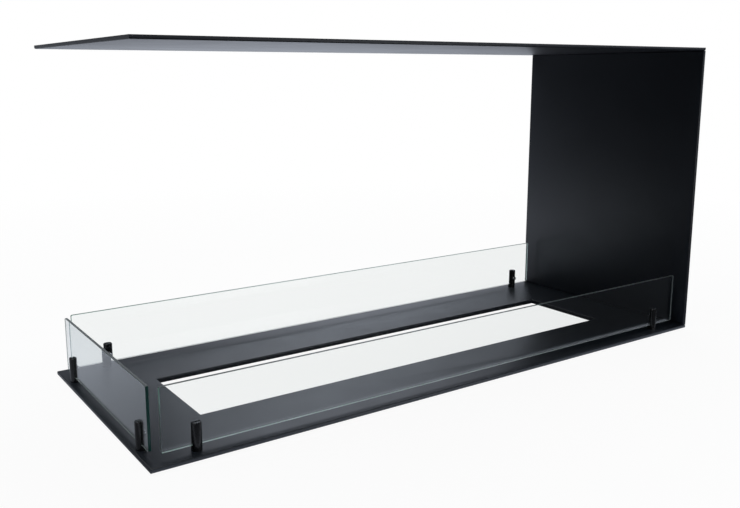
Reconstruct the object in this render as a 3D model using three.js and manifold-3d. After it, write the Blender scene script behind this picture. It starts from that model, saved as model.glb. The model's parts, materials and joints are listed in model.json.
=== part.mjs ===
// Open bioethanol fireplace insert: folded steel base, one side wall and a cantilevered top,
// with a low glass guard on its three open sides. The glass stands in slotted holders.
// Units are millimetres. X runs along the fireplace with the side wall at +X, the front is -Y,
// +Z is up. The origin is the centre of the base's outline, level with its lowest edge.

import * as THREE from 'three';
import { mergeVertices } from 'three/addons/utils/BufferGeometryUtils.js';
import Module from 'manifold-3d';

const wasm = await Module();
wasm.setup();

// ---------------------------------------------------------------- driving dimensions

// Casing of folded sheet steel
const caseLength = 1020;
const caseDepth = 400;
const caseHeight = 500; // from under the base's lips to the top's upper rim
const sheet = 1.5;
const lipDepth = 5; // every outer edge is folded this deep, sheet included
const bendInside = 0.5; // inside radius of the folds
const bendSteps = 4;

// Burner cut-out in the base, its edge folded down all round
const cutoutLength = 800;
const cutoutWidth = 160;
const cutoutCentreX = 6;
const cutoutFlange = 7.5; // depth of the fold, sheet included

// Glass guard
const glassThickness = 4;
const glassHeight = 84;
const glassCorner = 2; // radius of the ground corners
const glassArris = 0.4; // width of the ground edge bevel
const longGlassInset = 20; // from the base's long edges to the middle of the glass
const sideGlassInset = 11; // from the base's open end to the middle of the glass
const glassWallGap = 14; // between the long panes and the side wall
const glassCornerGap = 8; // between the end of one pane and the face of the next

// Glass holders: round posts, each slotted from the top for the glass
const postDiameter = 14;
const postHeight = 37;
const postChamfer = 0.6;
const slotFloorHeight = 7;
const linerThickness = 0.4;
const linerSetback = 1; // the liner ends this far inside the post's rim and sides
const longPostInset = 49; // from the ends of a long pane to its holders, on average
const frontPostShift = - 3; // the front pair's offset along the pane
const backPostShift = 5;
const sidePostInset = 30;

// Button-head socket screws, one size for clamping and fixing
const threadDiameter = 4;
const headDiameter = 7.6;
const headHeight = 2.2;
const headRim = 0.4; // straight rim under the dome
const socketAcrossFlats = 2.5;
const socketDepth = 1.3;
const clampScrewHeight = 20; // axis above the base
const fixingScrewLength = 6;

// Clearances
const slipGap = 0.05; // between each pair of faces that only just touch
const clampHeadGap = 0.5; // left under the head of a tight clamp screw
const fixingHoleGap = 0.25; // radial, round the fixing screw in the base

// ---------------------------------------------------------------- derived sizes

const bendOutside = bendInside + sheet;
const baseTop = cutoutFlange; // the cut-out's folded edge is the lowest edge
const wallHeight = caseHeight - 2 * lipDepth;
const topUnderside = baseTop + wallHeight;
const wallFace = caseLength / 2 - lipDepth;
const slotWidth = glassThickness + 2 * ( linerThickness + 2 * slipGap );
const glassSeat = slotFloorHeight + linerThickness + slipGap; // above the base
const longGlassY = caseDepth / 2 - longGlassInset;
const sideGlassX = - caseLength / 2 + sideGlassInset;
const longGlassLeft = sideGlassX + glassThickness / 2 + glassCornerGap;
const longGlassRight = wallFace - glassWallGap;
const longGlassLength = longGlassRight - longGlassLeft;
const longGlassCentreX = ( longGlassLeft + longGlassRight ) / 2;
const sideGlassLength = 2 * ( longGlassY - glassThickness / 2 - glassCornerGap );
const slotLength = Math.sqrt( postDiameter ** 2 - slotWidth ** 2 ); // across the round post
const clampScrewLength = ( postDiameter - slotWidth ) / 2 + clampHeadGap;
const headFlatRadius = socketAcrossFlats / Math.sqrt( 3 ) + 0.4;

// ---------------------------------------------------------------- materials

const powderCoat = { color: 0x1b1d22, roughness: 0.42, metalness: 0.35 };
const postFinish = { color: 0x141518, roughness: 0.38, metalness: 0.35 };
const screwSteel = { color: 0x8d9094, roughness: 0.3, metalness: 0.9 };
const linerRubber = { color: 0x2a2a2b, roughness: 0.85, metalness: 0 };
const guardGlass = {
	color: 0xd6e6e0, roughness: 0.05, metalness: 0, transparent: true, opacity: 0.28,
};

// ---------------------------------------------------------------- shape helpers

// A closed solid through a stack of outlines, all with the same number of points.
function stackSolid( levels ) {

	const count = levels[ 0 ].outline.length;
	const positions = [];
	const index = [];
	for ( const { z, outline } of levels ) {

		for ( const point of outline ) positions.push( point.x, point.y, z );

	}

	for ( let level = 0; level < levels.length - 1; level ++ ) {

		for ( let i = 0; i < count; i ++ ) {

			const a = level * count + i;
			const b = level * count + ( i + 1 ) % count;
			index.push( a, b, b + count, a, b + count, a + count );

		}

	}

	const last = ( levels.length - 1 ) * count;
	for ( const [ a, b, c ] of THREE.ShapeUtils.triangulateShape( levels[ 0 ].outline, [] ) ) {

		index.push( c, b, a );

	}

	for ( const [ a, b, c ] of THREE.ShapeUtils.triangulateShape( levels.at( - 1 ).outline, [] ) ) {

		index.push( last + a, last + b, last + c );

	}

	const geometry = new THREE.BufferGeometry();
	geometry.setAttribute( 'position', new THREE.Float32BufferAttribute( positions, 3 ) );
	geometry.setIndex( index );
	return geometry;

}

// Outline of a rectangle about (0, 0), its corners rounded where a radius is given.
function rectangle( length, width, radius = 0, cornerSteps = 4 ) {

	const steps = radius > 0 ? cornerSteps : 0;
	const points = [];
	for ( let corner = 0; corner < 4; corner ++ ) {

		const signX = corner === 0 || corner === 3 ? 1 : - 1;
		const signY = corner < 2 ? 1 : - 1;
		for ( let step = 0; step <= steps; step ++ ) {

			const turn = ( corner + ( steps ? step / steps : 0.5 ) ) * Math.PI / 2;
			points.push( new THREE.Vector2(
				signX * ( length / 2 - radius ) + radius * Math.cos( turn ),
				signY * ( width / 2 - radius ) + radius * Math.sin( turn ),
			) );

		}

	}

	return points;

}

// Outline of a circle about (0, 0).
function circle( radius, steps = 40 ) {

	return Array.from( { length: steps }, ( _, step ) => {

		const turn = step / steps * 2 * Math.PI;
		return new THREE.Vector2( radius * Math.cos( turn ), radius * Math.sin( turn ) );

	} );

}

// Heights and insets of a quarter-round fold that ends level with z = top.
function foldSteps( top, radius ) {

	return Array.from( { length: bendSteps + 1 }, ( _, step ) => {

		const turn = step / bendSteps * Math.PI / 2;
		return { z: top - radius + radius * Math.sin( turn ), inset: radius - radius * Math.cos( turn ) };

	} );

}

function toManifold( geometry ) {

	const bare = geometry.clone();
	bare.deleteAttribute( 'normal' );
	bare.deleteAttribute( 'uv' );
	const merged = mergeVertices( bare, 1e-4 );
	return new wasm.Manifold( new wasm.Mesh( {
		numProp: 3,
		vertProperties: Float32Array.from( merged.attributes.position.array ),
		triVerts: Uint32Array.from( merged.index.array ),
	} ) );

}

function toGeometry( solid ) {

	const mesh = solid.getMesh();
	const geometry = new THREE.BufferGeometry();
	const positions = new THREE.Float32BufferAttribute( mesh.vertProperties, mesh.numProp );
	geometry.setAttribute( 'position', positions );
	geometry.setIndex( Array.from( mesh.triVerts ) );
	const faceted = geometry.toNonIndexed();
	faceted.computeVertexNormals();
	return faceted;

}

function placed( geometry, x, y, z ) {

	return toManifold( geometry.clone().translate( x, y, z ) );

}

function piece( name, geometry, finish ) {

	const mesh = new THREE.Mesh( geometry, new THREE.MeshStandardMaterial( finish ) );
	mesh.name = name;
	return mesh;

}

// ---------------------------------------------------------------- folded sheet panels

// A sheet with its four edges folded down: face up at z = 0, lips down to -lipDepth.
function foldedPanel( length, width ) {

	const shell = ( inset, z ) => ( { z, outline: rectangle( length - 2 * inset, width - 2 * inset ) } );
	const outside = stackSolid( [
		shell( 0, - lipDepth ),
		...foldSteps( 0, bendOutside ).map( ( fold ) => shell( fold.inset, fold.z ) ),
	] );
	const inside = stackSolid( [
		shell( sheet, - lipDepth - 1 ),
		...foldSteps( - sheet, bendInside ).map( ( fold ) => shell( sheet + fold.inset, fold.z ) ),
	] );
	return toManifold( outside ).subtract( toManifold( inside ) );

}

// The folded edge round the cut-out, and the opening inside it.
function cutoutFold() {

	const shell = ( outset, z ) => ( {
		z, outline: rectangle( cutoutLength + 2 * outset, cutoutWidth + 2 * outset ),
	} );
	const edge = stackSolid( [
		shell( sheet, - cutoutFlange ),
		...foldSteps( - sheet, bendInside ).map( ( fold ) => shell( sheet + fold.inset, fold.z ) ),
		shell( bendOutside, - sheet / 2 ),
	] );
	const opening = stackSolid( [
		shell( 0, - cutoutFlange - 1 ),
		...foldSteps( 0, bendOutside ).map( ( fold ) => shell( fold.inset, fold.z ) ),
		shell( bendOutside, 1 ),
	] );
	return { edge: placed( edge, cutoutCentreX, 0, 0 ), opening: placed( opening, cutoutCentreX, 0, 0 ) };

}

// ---------------------------------------------------------------- where the holders stand

// Each holder's slot runs along its own X, and its clamp screw is on its +Y side, which
// always faces the burner.
const longPostLeft = longGlassLeft + longPostInset;
const longPostRight = longGlassRight - longPostInset;
const sidePostY = sideGlassLength / 2 - sidePostInset;
const holders = [
	{ name: 'front_left', x: longPostLeft + frontPostShift, y: - longGlassY, turn: 0 },
	{ name: 'front_right', x: longPostRight + frontPostShift, y: - longGlassY, turn: 0 },
	{ name: 'back_left', x: longPostLeft + backPostShift, y: longGlassY, turn: Math.PI },
	{ name: 'back_right', x: longPostRight + backPostShift, y: longGlassY, turn: Math.PI },
	{ name: 'side_front', x: sideGlassX, y: - sidePostY, turn: - Math.PI / 2 },
	{ name: 'side_back', x: sideGlassX, y: sidePostY, turn: - Math.PI / 2 },
];

// ---------------------------------------------------------------- casing

function baseTray() {

	const fold = cutoutFold();
	const drill = new THREE.CylinderGeometry(
		threadDiameter / 2 + fixingHoleGap, threadDiameter / 2 + fixingHoleGap, 4 * sheet, 24,
	).rotateX( Math.PI / 2 );
	let tray = foldedPanel( caseLength, caseDepth ).add( fold.edge ).subtract( fold.opening );
	for ( const { x, y } of holders ) tray = tray.subtract( placed( drill, x, y, - sheet / 2 ) );
	const mesh = piece( 'base_tray', toGeometry( tray ), powderCoat );
	mesh.position.z = baseTop;
	return mesh;

}

// Stands on the base with its lips turned outwards, so that its inner face is plain.
function sideWall() {

	const mesh = piece( 'side_wall', toGeometry( foldedPanel( wallHeight, caseDepth ) ), powderCoat );
	mesh.rotation.y = - Math.PI / 2;
	mesh.position.set( wallFace, 0, baseTop + wallHeight / 2 );
	return mesh;

}

// Lies on the side wall with its lips turned up, so that its underside is plain.
function topTray() {

	const mesh = piece( 'top_tray', toGeometry( foldedPanel( caseLength, caseDepth ) ), powderCoat );
	mesh.rotation.x = Math.PI;
	mesh.position.z = topUnderside;
	return mesh;

}

// ---------------------------------------------------------------- glass guard

// A pane in its own X-Z plane, standing on z = 0, with ground corners and edges.
function pane( name, length ) {

	const level = ( inset, z ) => ( {
		z, outline: rectangle( length - 2 * inset, glassHeight - 2 * inset, glassCorner - inset ),
	} );
	const geometry = stackSolid( [
		level( glassArris, - glassThickness / 2 ),
		level( 0, - glassThickness / 2 + glassArris ),
		level( 0, glassThickness / 2 - glassArris ),
		level( glassArris, glassThickness / 2 ),
	] );
	geometry.rotateX( Math.PI / 2 );
	geometry.translate( 0, 0, glassHeight / 2 );
	return piece( name, geometry, guardGlass );

}

function glassGuard() {

	const guard = new THREE.Group();
	guard.position.z = baseTop + glassSeat;
	const front = pane( 'glass_front', longGlassLength );
	front.position.set( longGlassCentreX, - longGlassY, 0 );
	const back = pane( 'glass_back', longGlassLength );
	back.position.set( longGlassCentreX, longGlassY, 0 );
	const side = pane( 'glass_side', sideGlassLength );
	side.position.set( sideGlassX, 0, 0 );
	side.rotation.z = Math.PI / 2;
	guard.add( front, back, side );
	return guard;

}

// ---------------------------------------------------------------- glass holders

function postGeometry() {

	const level = ( inset, z ) => ( { z, outline: circle( postDiameter / 2 - inset ) } );
	const body = toManifold( stackSolid( [
		level( 0, 0 ),
		level( 0, postHeight - postChamfer ),
		level( postChamfer, postHeight ),
	] ) );
	const slotDepth = postHeight - slotFloorHeight;
	const slot = placed(
		new THREE.BoxGeometry( 2 * postDiameter, slotWidth, 2 * slotDepth ), 0, 0, postHeight,
	);
	const tapRadius = threadDiameter / 2 + slipGap;
	const footTap = placed(
		new THREE.CylinderGeometry( tapRadius, tapRadius, 4 * slotFloorHeight, 24 ).rotateX( Math.PI / 2 ),
		0, 0, 0,
	);
	const clampTap = placed(
		new THREE.CylinderGeometry( tapRadius, tapRadius, postDiameter, 24 ),
		0, postDiameter / 2, clampScrewHeight,
	);
	return toGeometry( body.subtract( slot ).subtract( footTap ).subtract( clampTap ) );

}

// U-shaped strip that keeps the glass off the steel. It follows the slot's floor and sides.
function linerGeometry() {

	const outer = slotWidth / 2 - slipGap;
	const inner = outer - linerThickness;
	const height = postHeight - slotFloorHeight - linerSetback;
	const length = slotLength - 2 * linerSetback;
	const section = new THREE.Shape( [
		new THREE.Vector2( - outer, 0 ),
		new THREE.Vector2( outer, 0 ),
		new THREE.Vector2( outer, height ),
		new THREE.Vector2( inner, height ),
		new THREE.Vector2( inner, linerThickness ),
		new THREE.Vector2( - inner, linerThickness ),
		new THREE.Vector2( - inner, height ),
		new THREE.Vector2( - outer, height ),
	] );
	const geometry = new THREE.ExtrudeGeometry( section, { depth: length, bevelEnabled: false } );
	geometry.translate( 0, 0, - length / 2 );
	geometry.rotateX( Math.PI / 2 );
	geometry.rotateZ( Math.PI / 2 );
	geometry.translate( 0, 0, slotFloorHeight );
	return geometry;

}

// Button-head screw along Y: the tip at y = 0, the thread drawn plain, the head outwards.
function screwGeometry( length ) {

	const radius = threadDiameter / 2;
	const tipBevel = 0.5;
	const profile = [
		new THREE.Vector2( 0, 0 ),
		new THREE.Vector2( radius - tipBevel, 0 ),
		new THREE.Vector2( radius, tipBevel ),
		new THREE.Vector2( radius, length ),
		new THREE.Vector2( headDiameter / 2, length ),
	];
	const domeSteps = 5;
	for ( let step = 0; step <= domeSteps; step ++ ) {

		const turn = step / domeSteps * Math.PI / 2;
		profile.push( new THREE.Vector2(
			headFlatRadius + ( headDiameter / 2 - headFlatRadius ) * Math.cos( turn ),
			length + headRim + ( headHeight - headRim ) * Math.sin( turn ),
		) );

	}

	profile.push( new THREE.Vector2( 0, length + headHeight ) );
	const socketRadius = socketAcrossFlats / Math.sqrt( 3 );
	const socket = placed(
		new THREE.CylinderGeometry( socketRadius, socketRadius, 2 * socketDepth, 6 ),
		0, length + headHeight, 0,
	);
	return toGeometry( toManifold( new THREE.LatheGeometry( profile, 24 ) ).subtract( socket ) );

}

function glassHolders() {

	const post = postGeometry();
	const liner = linerGeometry();
	const clampScrew = screwGeometry( clampScrewLength );
	const fixingScrew = screwGeometry( fixingScrewLength );
	return holders.map( ( { name, x, y, turn } ) => {

		const holder = new THREE.Group();
		holder.position.set( x, y, baseTop );
		holder.rotation.z = turn;
		const clamp = piece( `clamp_screw_${ name }`, clampScrew, screwSteel );
		clamp.position.set( 0, slotWidth / 2, clampScrewHeight );
		const fixing = piece( `fixing_screw_${ name }`, fixingScrew, screwSteel );
		fixing.rotation.x = - Math.PI / 2;
		fixing.position.z = fixingScrewLength - sheet;
		holder.add(
			piece( `glass_post_${ name }`, post, postFinish ),
			piece( `slot_liner_${ name }`, liner, linerRubber ),
			clamp,
			fixing,
		);
		return holder;

	} );

}

// ---------------------------------------------------------------- assembly

const fireplace = new THREE.Group();
fireplace.name = 'bioethanol_fireplace';
fireplace.add( baseTray(), sideWall(), topTray(), glassGuard(), ...glassHolders() );

export default fireplace;
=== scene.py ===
"""Open bioethanol fireplace insert: black powder-coated casing with a clear glass guard.

Everything is in metres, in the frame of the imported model: X runs along the fireplace with the side wall
at +X, the front is -Y, +Z is up, and the floor is level with the model's lowest edge.
"""

import json
import math

import bmesh
import bpy
from mathutils import Matrix, Vector

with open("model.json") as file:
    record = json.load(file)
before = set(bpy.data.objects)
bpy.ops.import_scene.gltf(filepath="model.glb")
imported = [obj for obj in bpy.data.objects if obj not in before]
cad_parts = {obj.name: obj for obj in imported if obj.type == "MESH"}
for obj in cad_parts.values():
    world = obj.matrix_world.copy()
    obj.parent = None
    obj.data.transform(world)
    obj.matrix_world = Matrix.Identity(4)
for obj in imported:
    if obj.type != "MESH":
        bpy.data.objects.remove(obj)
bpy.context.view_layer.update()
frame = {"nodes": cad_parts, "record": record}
nodes = frame["nodes"]

# ---------------------------------------------------------------------- camera

IMAGE_WIDTH = 740
IMAGE_HEIGHT = 508
SENSOR = 36.0
FOCAL_PIXELS = 835.504
CENTRE_X, CENTRE_Y = 344.887, 232.035  # where the camera's axis meets the image, from its top left corner
CAMERA_PLACE = Vector((-0.82163, -1.08018, 0.45998))
CAMERA_YAW = math.radians(-33.6026)
CAMERA_PITCH = math.radians(-10.6972)
CAMERA_ROLL = math.radians(0.2204)
CLIP_START, CLIP_END = 0.02, 60


def make_camera():
    """The photograph's view, solved from the straight edges of the casing."""
    data = bpy.data.cameras.new("camera")
    data.sensor_fit = "HORIZONTAL"
    data.sensor_width = SENSOR
    data.lens = FOCAL_PIXELS * SENSOR / IMAGE_WIDTH
    data.shift_x = (IMAGE_WIDTH / 2 - CENTRE_X) / IMAGE_WIDTH
    data.shift_y = (CENTRE_Y - IMAGE_HEIGHT / 2) / IMAGE_WIDTH
    data.clip_start = CLIP_START
    data.clip_end = CLIP_END
    camera = bpy.data.objects.new("camera", data)
    turn = (
        Matrix.Rotation(CAMERA_YAW, 4, "Z")
        @ Matrix.Rotation(CAMERA_PITCH, 4, "X")
        @ Matrix.Rotation(CAMERA_ROLL, 4, "Y")
        @ Matrix.Rotation(math.pi / 2, 4, "X")
    )
    camera.matrix_world = Matrix.Translation(CAMERA_PLACE) @ turn
    bpy.context.scene.collection.objects.link(camera)
    bpy.context.scene.camera = camera


# ---------------------------------------------------------------------- node helpers


class Tree:
    """A small hand for building node trees."""

    def __init__(self, tree):
        self.tree = tree
        self.tree.nodes.clear()

    def add(self, kind, inputs=None, **settings):
        node = self.tree.nodes.new(kind)
        for name, value in settings.items():
            setattr(node, name, value)
        for name, value in (inputs or {}).items():
            if isinstance(value, bpy.types.NodeSocket):
                self.tree.links.new(value, node.inputs[name])
            else:
                node.inputs[name].default_value = value
        return node

    def math(self, operation, a, b=0.0):
        return self.add("ShaderNodeMath", {0: a, 1: b}, operation=operation).outputs[0]

    def span(self, value, low, high, to_low=0.0, to_high=1.0):
        inputs = {"Value": value, "From Min": low, "From Max": high, "To Min": to_low, "To Max": to_high}
        return self.add("ShaderNodeMapRange", inputs).outputs[0]

    def noise(self, vector, scale, detail=2.0, roughness=0.5):
        inputs = {"Vector": vector, "Scale": scale, "Detail": detail, "Roughness": roughness}
        return self.add("ShaderNodeTexNoise", inputs).outputs["Fac"]

    def blend(self, factor, a, b):
        node = self.add("ShaderNodeMix", data_type="RGBA")
        for socket, value in ((node.inputs[0], factor), (node.inputs[6], a), (node.inputs[7], b)):
            if isinstance(value, bpy.types.NodeSocket):
                self.tree.links.new(value, socket)
            else:
                socket.default_value = value
        return node.outputs[2]


def new_material(name):
    material = bpy.data.materials.new(name)
    material.use_nodes = True
    return material, Tree(material.node_tree)


# ---------------------------------------------------------------------- materials


# Noise stays mostly between these two values, so spans over it start and end here.
NOISE_LOW, NOISE_HIGH = 0.3, 0.7

# Scales of noise, in cells per metre
DRIFT, GLOSS_DRIFT, PEEL, FLECK = 6.0, 14.0, 420.0, 900.0
SMEAR, EDGE_GRAIN, STEEL_STAIN, STEEL_GRAIN, RUBBER_GRAIN = 9.0, 1800.0, 500.0, 2600.0, 1500.0

GLASS_IOR = 1.5
COAT_IOR = 1.5
PEEL_STRENGTH, PEEL_HEIGHT = 0.02, 0.0004
FLECK_GLOSS = 0.02
GRAIN_HEIGHT = 0.0001  # of the glass's ground edges, the screws and the liners

# Colours come in pairs, between which noise drifts.
COAT_COLOURS = (0.0125, 0.016, 0.022, 1.0), (0.016, 0.02, 0.027, 1.0)
POST_COLOURS = (0.006, 0.006, 0.0065, 1.0), (0.009, 0.009, 0.0095, 1.0)
STEEL_COLOURS = (0.42, 0.43, 0.44, 1.0), (0.6, 0.61, 0.62, 1.0)
RUBBER_COLOURS = (0.018, 0.018, 0.019, 1.0), (0.03, 0.03, 0.031, 1.0)
LONG_EDGE_COLOURS = (0.5, 0.54, 0.54, 1.0), (0.62, 0.66, 0.66, 1.0)
# The side pane's ends are painted deep green: painted light that stands for the glass's depth seen along
# that pane.
PAINTED_DEPTH_GREEN_COLOURS = (0.01, 0.085, 0.068, 1.0), (0.018, 0.11, 0.09, 1.0)
LONG_EDGE_CLEARNESS, PAINTED_DEPTH_GREEN_CLEARNESS = 0.7, 0.3
GLASS_DEPTH_COLOUR, GLASS_DEPTH_DENSITY = (0.3, 0.8, 0.66, 1.0), 9.0
GLASS_TO_LAMPS = (0.86, 0.9, 0.88, 1.0)

# A face counts as a pane's broad side, or as its end, where its normal points this squarely that way.
BROAD_SIDE, PANE_END = 0.9, 0.6
ROUND_BELOW = math.radians(32)  # edges that turn less than this are shaded as round
WELD_REACH = 1e-6


def powder_coat(name, dark, light, roughness, rough_spread):
    """Black satin powder coat: fine orange peel, slow drifts of colour and gloss, and a fine gloss grain."""
    material, tree = new_material(name)
    place = tree.add("ShaderNodeTexCoord").outputs["Object"]
    drift = tree.noise(place, DRIFT, 3.0)
    fleck = tree.noise(place, FLECK, 1.0)
    colour = tree.blend(tree.span(drift, NOISE_LOW, NOISE_HIGH), dark, light)
    smooth, rough = roughness - rough_spread, roughness + rough_spread
    gloss = tree.span(tree.noise(place, GLOSS_DRIFT, 4.0), NOISE_LOW, NOISE_HIGH, smooth, rough)
    gloss = tree.math("ADD", gloss, tree.span(fleck, NOISE_LOW, NOISE_HIGH, -FLECK_GLOSS, FLECK_GLOSS))
    skin = tree.noise(place, PEEL, 2.0)
    bump = tree.add(
        "ShaderNodeBump", {"Strength": PEEL_STRENGTH, "Distance": PEEL_HEIGHT, "Height": skin}
    )
    shader = tree.add(
        "ShaderNodeBsdfPrincipled",
        {"Base Color": colour, "Roughness": gloss, "Normal": bump.outputs[0], "IOR": COAT_IOR},
    )
    tree.add("ShaderNodeOutputMaterial", {"Surface": shader.outputs[0]})
    return material


def glass_body(tree):
    """The green that clear glass shows only through its depth."""
    depth = {"Color": GLASS_DEPTH_COLOUR, "Density": GLASS_DEPTH_DENSITY}
    return tree.add("ShaderNodeVolumeAbsorption", depth).outputs[0]


def ground_edge(name, dark, light, clearness):
    """A ground edge of a pane: near neutral on long edges. The side pane's ends get a painted deep green
    that stands for the glass's depth seen along that pane.
    """
    material, tree = new_material(name)
    place = tree.add("ShaderNodeTexCoord").outputs["Object"]
    grain = tree.noise(place, EDGE_GRAIN, 3.0)
    bump = tree.add("ShaderNodeBump", {"Strength": 0.3, "Distance": GRAIN_HEIGHT, "Height": grain})
    shader = tree.add(
        "ShaderNodeBsdfPrincipled",
        {
            "Base Color": tree.blend(grain, dark, light),
            "Roughness": tree.span(grain, NOISE_LOW, NOISE_HIGH, 0.28, 0.4),
            "IOR": GLASS_IOR,
            "Transmission Weight": clearness,
            "Normal": bump.outputs[0],
        },
    )
    tree.add("ShaderNodeOutputMaterial", {"Surface": shader.outputs[0], "Volume": glass_body(tree)})
    return material


def clear_glass():
    """Clear toughened glass with faint smears. Its Is Shadow Ray branch lets lamps shine through it."""
    material, tree = new_material("guard_glass")
    place = tree.add("ShaderNodeTexCoord").outputs["Object"]
    smear = tree.span(tree.noise(place, SMEAR, 5.0, 0.6), 0.45, 0.75, 0.0, 0.012)
    glass = tree.add(
        "ShaderNodeBsdfPrincipled",
        {
            "Base Color": (1.0, 1.0, 1.0, 1.0),
            "Roughness": smear,
            "IOR": GLASS_IOR,
            "Transmission Weight": 1.0,
        },
    )
    clear = tree.add("ShaderNodeBsdfTransparent", {"Color": GLASS_TO_LAMPS})
    lamp_ray = tree.add("ShaderNodeLightPath").outputs["Is Shadow Ray"]
    surface = tree.add("ShaderNodeMixShader", {0: lamp_ray, 1: glass.outputs[0], 2: clear.outputs[0]})
    tree.add("ShaderNodeOutputMaterial", {"Surface": surface.outputs[0], "Volume": glass_body(tree)})
    return material


def bright_steel():
    """Stainless steel of the screws, with a fine grain and slight stains."""
    material, tree = new_material("screw_steel")
    place = tree.add("ShaderNodeTexCoord").outputs["Object"]
    grain = tree.noise(place, STEEL_GRAIN, 2.0)
    stain = tree.span(tree.noise(place, STEEL_STAIN, 2.0), NOISE_LOW, NOISE_HIGH)
    colour = tree.blend(stain, *STEEL_COLOURS)
    bump = tree.add("ShaderNodeBump", {"Strength": 0.15, "Distance": GRAIN_HEIGHT, "Height": grain})
    shader = tree.add(
        "ShaderNodeBsdfPrincipled",
        {
            "Base Color": colour,
            "Metallic": 1.0,
            "Roughness": tree.span(grain, NOISE_LOW, NOISE_HIGH, 0.18, 0.32),
            "Normal": bump.outputs[0],
        },
    )
    tree.add("ShaderNodeOutputMaterial", {"Surface": shader.outputs[0]})
    return material


def silicone():
    """Matt dark silicone of the slot liners."""
    material, tree = new_material("liner")
    place = tree.add("ShaderNodeTexCoord").outputs["Object"]
    grain = tree.noise(place, RUBBER_GRAIN, 3.0)
    colour = tree.blend(grain, *RUBBER_COLOURS)
    bump = tree.add("ShaderNodeBump", {"Strength": 0.2, "Distance": GRAIN_HEIGHT, "Height": grain})
    shader = tree.add(
        "ShaderNodeBsdfPrincipled",
        {
            "Base Color": colour,
            "Roughness": tree.span(grain, NOISE_LOW, NOISE_HIGH, 0.6, 0.8),
            "Normal": bump.outputs[0],
        },
    )
    tree.add("ShaderNodeOutputMaterial", {"Surface": shader.outputs[0]})
    return material


def dress_nodes():
    """Gives each node the material of its slot, and the panes' narrow faces a material for ground edges; the
    side pane's ends get a painted depth green.
    """
    looks = {
        "powder_coat": powder_coat("powder_coat", *COAT_COLOURS, 0.36, 0.02),
        "post_coat": powder_coat("post_coat", *POST_COLOURS, 0.25, 0.03),
        "screw_steel": bright_steel(),
        "guard_glass": clear_glass(),
        "liner": silicone(),
    }
    for part in frame["record"]["subparts"]:
        item = nodes[part["node"]]
        item.data.materials.clear()
        item.data.materials.append(looks[part["material_slot"]])
    edge = ground_edge("glass_edge", *LONG_EDGE_COLOURS, LONG_EDGE_CLEARNESS)
    # end paints the side pane's ends deep green, as painted light for the glass's depth seen along that
    # pane.
    end = ground_edge("glass_end_painted_green", *PAINTED_DEPTH_GREEN_COLOURS, PAINTED_DEPTH_GREEN_CLEARNESS)
    clear_slot, edge_slot, end_slot = 0, 1, 2
    # through is the axis across the pane's thickness
    for name, through in (("glass_front", 1), ("glass_back", 1), ("glass_side", 0)):
        mesh = nodes[name].data
        mesh.materials.append(edge)
        mesh.materials.append(end)
        for face in mesh.polygons:
            is_end = name == "glass_side" and abs(face.normal[1 - through]) > PANE_END
            if abs(face.normal[through]) > BROAD_SIDE:
                face.material_index = clear_slot
            else:
                face.material_index = end_slot if is_end else edge_slot


def smooth_folds():
    """Shades round surfaces as round and keeps flat ones flat."""
    for item in nodes.values():
        if "custom_normal" in item.data.attributes:
            item.data.attributes.remove(item.data.attributes["custom_normal"])
        item.data.shade_smooth()
        weld = item.modifiers.new("weld", "WELD")
        weld.merge_threshold = WELD_REACH
        split = item.modifiers.new("split", "EDGE_SPLIT")
        split.split_angle = ROUND_BELOW


# ---------------------------------------------------------------------- surroundings

# The camera sees white all round. Reflections, and the light that falls on the object, come from a dim room
# with a lit backdrop instead. Its places and strengths were found by trial against the photograph's tones.

FLOOR_SIZE = 60.0
FLOOR_DROP = 0.0002  # keeps the floor clear of the model's lowest edge
FLOOR_GREY = (0.9, 0.9, 0.9, 1.0)
FLOOR_SHADE = 0.06  # the share of the floor's own light and shadow that the camera sees
SHADE_FADE = 0.9, 2.2  # distances from the fireplace over which that share fades to nothing
WHITE = (1.0, 1.0, 1.0, 1.0)

ROOM_TINT = (0.88, 0.94, 1.07, 1.0)
ROOM_DIM = 0.04  # the least that any part of the room gives
BACKDROP = Vector((0.545, 0.838, 0.0))  # where the lit backdrop stands, seen from the fireplace
BACKDROP_FALLOFF = 2.2
BACKDROP_HEIGHT = 0.03, 0.16  # it fades between these heights above the horizon
BACKDROP_GLOW = 0.75, 0.06  # at the lower height and at the upper one
WINDOW = Vector((0.497, 0.766, 0.407))  # the brightest part of the backdrop
WINDOW_FALLOFF, WINDOW_GLOW = 60.0, 2.0
FRONT_GLOW = Vector((0.8, -0.6, 0.0))  # a pale wall in front to the right
FRONT_STRENGTH, FRONT_HEIGHT = 1.2, 0.6

# The floor as the object mirrors it
FAR_FLOOR = Vector((0.41, 0.912, 0.0))  # where its far part is brightest, seen from the fireplace
FAR_FALLOFF, FAR_GLOW = 3.0, 1.05
NEAR_TO_FAR = 0.6, 1.2  # distances over which the near glow gives way to the far one
BEHIND_SLANT, BEHIND_FADE = 0.6, (-0.3, 0.6)  # the near glow grows with y - slant * x
RIGHT_SLANT, RIGHT_FADE = 0.5, (-1.0, 0.0)  # and with x + slant * y
FOOT_FADE = -0.225, -0.215  # y, the outer side of a bright strip along the base's front
FOOT_END = -0.2, -0.195  # y, its inner side
CUTOUT_SIDE_X = 0.39, 0.41  # the floor is dim below the cut-out, out to this distance along X
CUTOUT_SIDE_Y = 0.078, 0.088  # and to this one along Y


def looked_at(tree, depth=0):
    """1 for what the camera sees, straight or through glass, and 0 for what is mirrored or lights a surface.

    A ray that a surface mirrored and that then passes through glass counts as mirrored. Ray Depth counts one
    more in the world than on a surface, so the world gives depth as 1.
    """
    path = tree.add("ShaderNodeLightPath")
    bounces = tree.math("SUBTRACT", path.outputs["Ray Depth"], path.outputs["Transmission Depth"])
    unmirrored = tree.math("LESS_THAN", bounces, depth + 0.5)
    eye_ray = tree.math("MAXIMUM", path.outputs["Is Camera Ray"], path.outputs["Is Transmission Ray"])
    return tree.math("MULTIPLY", unmirrored, eye_ray)


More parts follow.
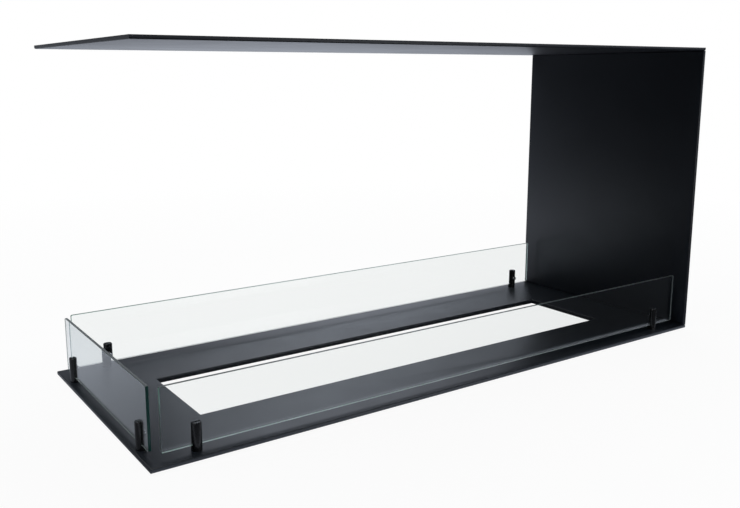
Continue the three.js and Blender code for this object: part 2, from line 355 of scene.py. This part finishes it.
def floor_glow(tree, point, away):
    """What the object mirrors of the floor: bright behind and to the right, dim in front and to the left.

    A bright strip runs along the base's front, and the floor below the cut-out is dim.
    """
    place = tree.add("ShaderNodeSeparateXYZ", {0: point})
    x, y = place.outputs[0], place.outputs[1]
    behind = tree.span(tree.math("SUBTRACT", y, tree.math("MULTIPLY", x, BEHIND_SLANT)), *BEHIND_FADE)
    right = tree.span(tree.math("ADD", x, tree.math("MULTIPLY", y, RIGHT_SLANT)), *RIGHT_FADE)
    near = tree.math("MULTIPLY", behind, right)
    outward = tree.add("ShaderNodeVectorMath", {0: point}, operation="NORMALIZE").outputs[0]
    far = tree.math("POWER", facing(tree, outward, FAR_FLOOR), FAR_FALLOFF)
    far = tree.math("MULTIPLY", far, FAR_GLOW)
    is_far = tree.span(away, *NEAR_TO_FAR)
    glow = tree.add("ShaderNodeMix", {0: is_far, 2: near, 3: far}).outputs[0]
    foot = tree.math("MULTIPLY", tree.span(y, *FOOT_FADE), tree.span(y, *FOOT_END, 1.0, 0.0))
    glow = tree.math("MAXIMUM", glow, foot)
    beside_x = tree.span(tree.math("ABSOLUTE", x), *CUTOUT_SIDE_X)
    beside_y = tree.span(tree.math("ABSOLUTE", y), *CUTOUT_SIDE_Y)
    glow = tree.math("MULTIPLY", glow, tree.math("MAXIMUM", beside_x, beside_y))
    return tree.math("MAXIMUM", glow, ROOM_DIM)


def make_floor():
    """White to the camera, with a soft shadow of the object. Reflections see floor_glow instead."""
    mesh = bpy.data.meshes.new("floor")
    half = FLOOR_SIZE / 2
    shape = bmesh.new()
    signs = (-1, -1), (1, -1), (1, 1), (-1, 1)
    shape.faces.new([shape.verts.new((x * half, y * half, 0.0)) for x, y in signs])
    shape.to_mesh(mesh)
    shape.free()
    floor = bpy.data.objects.new("floor", mesh)
    floor.location.z = -FLOOR_DROP
    bpy.context.scene.collection.objects.link(floor)
    material, tree = new_material("floor")
    lit = tree.add("ShaderNodeBsdfDiffuse", {"Color": FLOOR_GREY})
    white = tree.add("ShaderNodeEmission", {"Color": WHITE, "Strength": 1.0})
    point = tree.add("ShaderNodeTexCoord").outputs["Object"]
    away = tree.add("ShaderNodeVectorMath", {0: point}, operation="LENGTH").outputs["Value"]
    whiteness = tree.span(away, *SHADE_FADE, 1.0 - FLOOR_SHADE, 1.0)
    seen = tree.add("ShaderNodeMixShader", {0: whiteness, 1: lit.outputs[0], 2: white.outputs[0]})
    room_light = {"Color": ROOM_TINT, "Strength": floor_glow(tree, point, away)}
    room = tree.add("ShaderNodeEmission", room_light)
    mixed = tree.add("ShaderNodeMixShader", {0: looked_at(tree), 1: room.outputs[0], 2: seen.outputs[0]})
    tree.add("ShaderNodeOutputMaterial", {"Surface": mixed.outputs[0]})
    mesh.materials.append(material)


def facing(tree, direction, aim):
    """How squarely a direction points at an aim, and 0 for what points away."""
    dot = tree.add("ShaderNodeVectorMath", {0: direction, 1: aim}, operation="DOT_PRODUCT").outputs["Value"]
    return tree.math("MAXIMUM", dot, 0.0)


def make_world():
    """White to the camera, straight or through glass. Reflections see a dim room with a lit backdrop."""
    world = bpy.data.worlds.new("world")
    world.use_nodes = True
    tree = Tree(world.node_tree)
    direction = tree.add("ShaderNodeTexCoord").outputs["Generated"]
    height = tree.add("ShaderNodeSeparateXYZ", {0: direction}).outputs[2]
    flat = {0: direction, 1: (1.0, 1.0, 0.0)}
    level = tree.add("ShaderNodeVectorMath", flat, operation="MULTIPLY").outputs[0]
    level = tree.add("ShaderNodeVectorMath", {0: level}, operation="NORMALIZE").outputs[0]
    wide = tree.math("POWER", facing(tree, level, BACKDROP), BACKDROP_FALLOFF)
    wide = tree.math("MULTIPLY", wide, tree.span(height, *BACKDROP_HEIGHT, *BACKDROP_GLOW))
    narrow = tree.math("POWER", facing(tree, direction, WINDOW), WINDOW_FALLOFF)
    narrow = tree.math("MULTIPLY", narrow, WINDOW_GLOW)
    front = facing(tree, level, FRONT_GLOW)
    front = tree.math("MULTIPLY", front, tree.span(height, 0.0, FRONT_HEIGHT, FRONT_STRENGTH, 0.0))
    glow = tree.math("ADD", tree.math("ADD", wide, narrow), front)
    glow = tree.math("ADD", glow, ROOM_DIM)
    room = tree.add("ShaderNodeBackground", {"Color": ROOM_TINT, "Strength": glow})
    white = tree.add("ShaderNodeBackground", {"Color": WHITE, "Strength": 1.0})
    seen = looked_at(tree, depth=1)
    mixed = tree.add("ShaderNodeMixShader", {0: seen, 1: room.outputs[0], 2: white.outputs[0]})
    tree.add("ShaderNodeOutputWorld", {"Surface": mixed.outputs[0]})
    bpy.context.scene.world = world


def make_lamp(name, place, aim, size, power):
    data = bpy.data.lights.new(name, "AREA")
    data.shape = "RECTANGLE"
    data.size, data.size_y = size
    data.energy = power
    lamp = bpy.data.objects.new(name, data)
    lamp.location = place
    lamp.rotation_euler = (Vector(aim) - Vector(place)).to_track_quat("-Z", "Y").to_euler()
    bpy.context.scene.collection.objects.link(lamp)


def make_lamps():
    """A small low lamp in front and a large one overhead, set back."""
    make_lamp("strip", place=(0.36, -0.95, 0.2), aim=(0.0, 0.0, 0.2), size=(0.5, 0.34), power=1.0)
    make_lamp("top", place=(0.0, 0.7, 3.2), aim=(0.0, 0.7, 0.0), size=(5.0, 2.8), power=100.0)


# ---------------------------------------------------------------------- scene

make_camera()
dress_nodes()
smooth_folds()
make_floor()
make_world()
make_lamps()
bpy.context.scene.view_settings.view_transform = "Standard"
